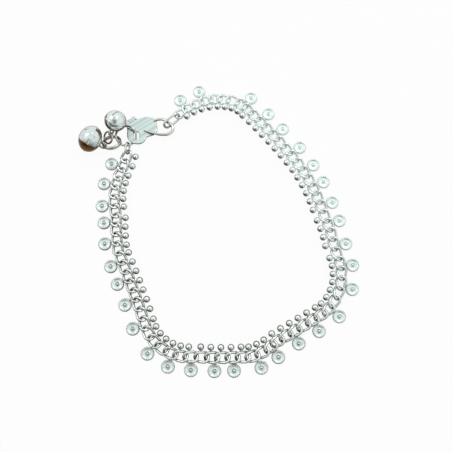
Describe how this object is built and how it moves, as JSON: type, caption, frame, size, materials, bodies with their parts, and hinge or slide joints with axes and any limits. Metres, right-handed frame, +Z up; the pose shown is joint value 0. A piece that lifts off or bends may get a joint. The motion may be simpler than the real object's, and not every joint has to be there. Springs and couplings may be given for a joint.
{
  "type": "anklet",
  "caption": "Payal anklet: a closed loop of twisted curb links with a ball on each inner side, rimmed disc drops outside, a leaf plate clasp with a wire hook, and jingle bells.",
  "frame": {"origin": "middle of the loop's footprint, on the surface it lies on", "axes": "+Z up; the clasp lies towards -X and +Y; +Y and +X lie in the surface"},
  "size_m": [0.0926, 0.0992, 0.0091],
  "materials": {
    "silver": "polished, slightly tarnished",
    "pellet": "dull"
  },
  "bodies": {
    "root": {"chain_run_01": "silver", "chain_run_02": "silver", "chain_run_03": "silver", "chain_run_04": "silver", "chain_run_05": "silver", "chain_run_06": "silver", "chain_run_07": "silver", "chain_run_08": "silver", "chain_run_09": "silver", "chain_run_10": "silver", "chain_run_11": "silver", "chain_run_12": "silver", "chain_run_13": "silver", "chain_run_14": "silver", "disc_drop_01": "silver", "disc_drop_02": "silver", "disc_drop_03": "silver", "disc_drop_04": "silver", "disc_drop_05": "silver", "disc_drop_06": "silver", "disc_drop_07": "silver", "disc_drop_08": "silver", "disc_drop_09": "silver", "disc_drop_10": "silver", "disc_drop_11": "silver", "disc_drop_12": "silver", "disc_drop_13": "silver", "disc_drop_14": "silver", "disc_drop_15": "silver", "disc_drop_16": "silver", "disc_drop_17": "silver", "disc_drop_18": "silver", "disc_drop_19": "silver", "disc_drop_20": "silver", "disc_drop_21": "silver", "disc_drop_22": "silver", "disc_drop_23": "silver", "disc_drop_24": "silver", "disc_drop_25": "silver", "disc_drop_26": "silver", "disc_drop_27": "silver", "disc_drop_28": "silver", "disc_drop_29": "silver", "disc_drop_30": "silver", "disc_drop_31": "silver", "disc_drop_32": "silver", "clasp_hook": "silver", "main_ring": "silver", "start_link": "silver", "hook_link": "silver", "bell_1": "silver", "bell_2": "silver", "bell_ring_1": "silver", "bell_ring_2": "silver", "bell_1_pellet": "pellet", "bell_2_pellet": "pellet"}
  },
  "joints": []
}
